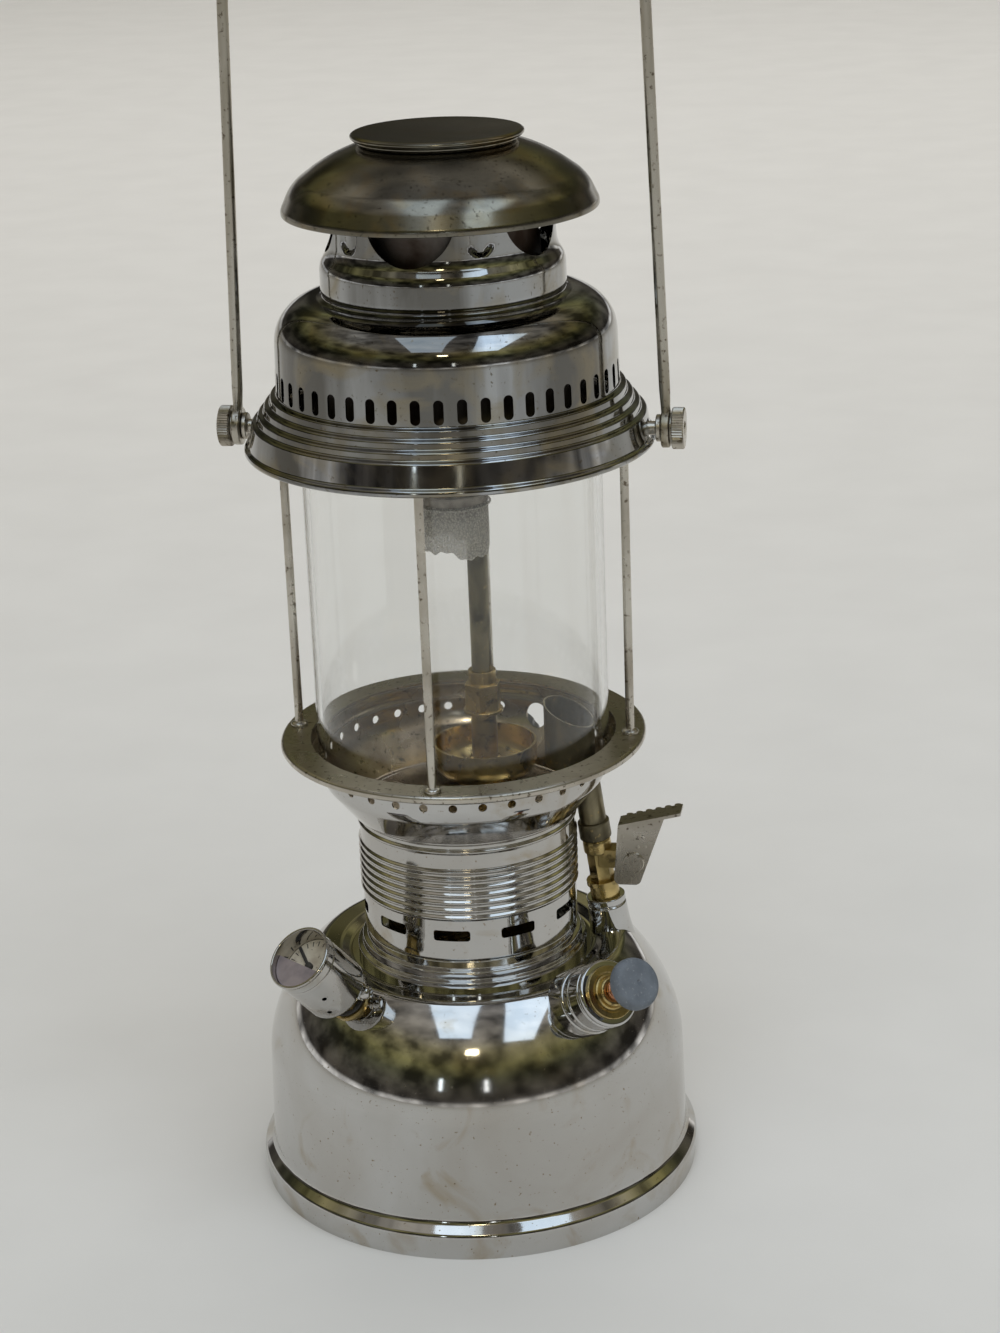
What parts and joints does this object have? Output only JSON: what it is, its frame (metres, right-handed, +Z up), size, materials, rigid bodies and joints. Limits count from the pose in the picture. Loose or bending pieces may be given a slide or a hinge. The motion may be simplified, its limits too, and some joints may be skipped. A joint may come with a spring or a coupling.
{
  "type": "kerosene pressure lantern",
  "caption": "Chromed pressure lantern: round tank with pump and gauge, ribbed collar, glass in a rod cage, slotted hood with a mushroom cap, wire bail.",
  "frame": {"origin": "on the tank's axis in the plane that the foot stands on", "axes": "+Z up; the bail's pivots lie along X; -Y is the front, between the gauge and the pump"},
  "size_m": [0.1714, 0.1698, 0.5184],
  "materials": {
    "chrome": "bright nickel and chrome plate, mirror polished",
    "nickel": "satin nickel, worn",
    "bail_nickel": "dull nickel-plated wire",
    "tarnished_nickel": "heat-darkened nickel",
    "brass": "aged brass",
    "dark_brass": "burnt brass",
    "burner_steel": "heat-stained sheet steel",
    "knob_grey": "matte blue-grey",
    "wheel_black": "moulded",
    "leather": "oiled",
    "gasket": "plain",
    "glass": "clear heat-proof glass",
    "ceramic": "unglazed, sooted",
    "mantle_cloth": "burnt-out gauze",
    "dial": "aged cream",
    "dial_mask": "grey",
    "pointer": "black"
  },
  "bodies": {
    "root": {"tank_shell": "chrome", "tank_bottom": "chrome", "tank_neck": "chrome", "pickup_tube": "brass", "pump_barrel": "chrome", "pump_check_valve": "brass", "pump_cap": "chrome", "pump_bush": "brass", "filler_neck": "brass", "valve_body": "brass", "control_gland": "chrome", "spirit_cup": "brass", "generator_ring": "dark_brass", "generator_nut": "dark_brass", "generator_tube": "dark_brass", "jet": "brass", "ribbed_collar": "chrome", "gallery_bowl": "chrome", "gallery_ring": "nickel", "cage_rods": "nickel", "rod_feet": "nickel", "cage_top_ring": "nickel", "glass_chimney": "glass", "pivot_studs": "nickel", "torch_boss": "chrome", "torch_body": "brass", "torch_union_nut": "brass", "torch_tube": "dark_brass", "torch_flame_tube": "dark_brass", "lever_rivet": "nickel"},
    "hood": {"hood_shell": "chrome", "hood_cap": "tarnished_nickel", "hood_lid": "tarnished_nickel", "inner_chamber": "burner_steel", "burner_bracket": "burner_steel", "burner_pipe": "burner_steel", "mixing_tube": "burner_steel", "nozzle": "ceramic", "mantle": "mantle_cloth", "mantle_tie": "mantle_cloth"},
    "bail": {"bail_wire": "bail_nickel", "bail_washers": "nickel"},
    "bail_nut_left": {"bail_nut_left": "nickel"},
    "bail_nut_right": {"bail_nut_right": "nickel"},
    "pump_plunger": {"pump_rod": "brass", "pump_knob": "knob_grey", "pump_piston": "brass", "pump_leather": "leather", "piston_nut": "brass"},
    "gasket": {"filler_gasket": "gasket"},
    "filler_cap": {"filler_nut": "brass", "gauge_case": "chrome", "gauge_dial": "dial", "gauge_mask": "dial_mask"},
    "pointer": {"gauge_pointer": "pointer"},
    "release_screw": {"release_screw": "chrome"},
    "control": {"control_spindle": "brass", "control_wheel": "wheel_black"},
    "needle": {"needle_rod": "brass"},
    "torch_lever": {"torch_lever": "nickel"}
  },
  "joints": [
    {"name": "bail_swing", "type": "hinge", "parent": "root", "child": "bail", "pos_m": [0, 0, 0.2937], "axis": [1, 0, 0], "range_deg": [-135, 135]},
    {"name": "hood_lift", "type": "slide", "parent": "root", "child": "hood", "axis": [0, 0, 1], "range_m": [0, 0.09]},
    {"name": "left_nut_turn", "type": "hinge", "parent": "root", "child": "bail_nut_left", "pos_m": [-0.083, 0, 0.2937], "axis": [-1, 0, 0], "range_deg": [0, 720]},
    {"name": "right_nut_turn", "type": "hinge", "parent": "root", "child": "bail_nut_right", "pos_m": [0.083, 0, 0.2937], "axis": [1, 0, 0], "range_deg": [0, 720]},
    {"name": "pump_stroke", "type": "slide", "parent": "root", "child": "pump_plunger", "axis": [0.642, -0.568, 0.515], "range_m": [0, 0.06]},
    {"name": "filler_lift", "type": "slide", "parent": "root", "child": "gasket", "axis": [-0.3971, -0.5386, 0.7431], "range_m": [0, 0.0045]},
    {"name": "filler_turn", "type": "hinge", "parent": "gasket", "child": "filler_cap", "pos_m": [-0.05133, -0.06962, 0.1134], "axis": [-0.3971, -0.5386, 0.7431], "range_deg": [0, 1080]},
    {"name": "gauge_pointer_turn", "type": "hinge", "parent": "filler_cap", "child": "pointer", "pos_m": [-0.04815, -0.06531, 0.10745], "axis": [0.3971, 0.5386, -0.7431], "range_deg": [0, 120], "stiffness_Nm_per_rad": 0.0001},
    {"name": "release_screw_turn", "type": "hinge", "parent": "filler_cap", "child": "release_screw", "pos_m": [-0.03189, -0.05548, 0.093], "axis": [0.9159, -0.285, 0.2828], "range_deg": [0, 720]},
    {"name": "control_turn", "type": "hinge", "parent": "root", "child": "control", "pos_m": [0.004, 0.077, 0.142], "axis": [0, 1, 0], "range_deg": [0, 180]},
    {"name": "needle_lift", "type": "slide", "parent": "root", "child": "needle", "axis": [0, 0, 1], "range_m": [0, 0.0025]},
    {"name": "torch_lever_turn", "type": "hinge", "parent": "root", "child": "torch_lever", "pos_m": [0.0621, 0.00863, 0.12075], "axis": [0, 1, 0], "range_deg": [0, 80]}
  ],
  "couplings": [
    {"joint": "filler_turn", "follows": "filler_lift", "rad_per_m": 4188.8},
    {"joint": "control_turn", "follows": "needle_lift", "rad_per_m": 1256.6}
  ]
}
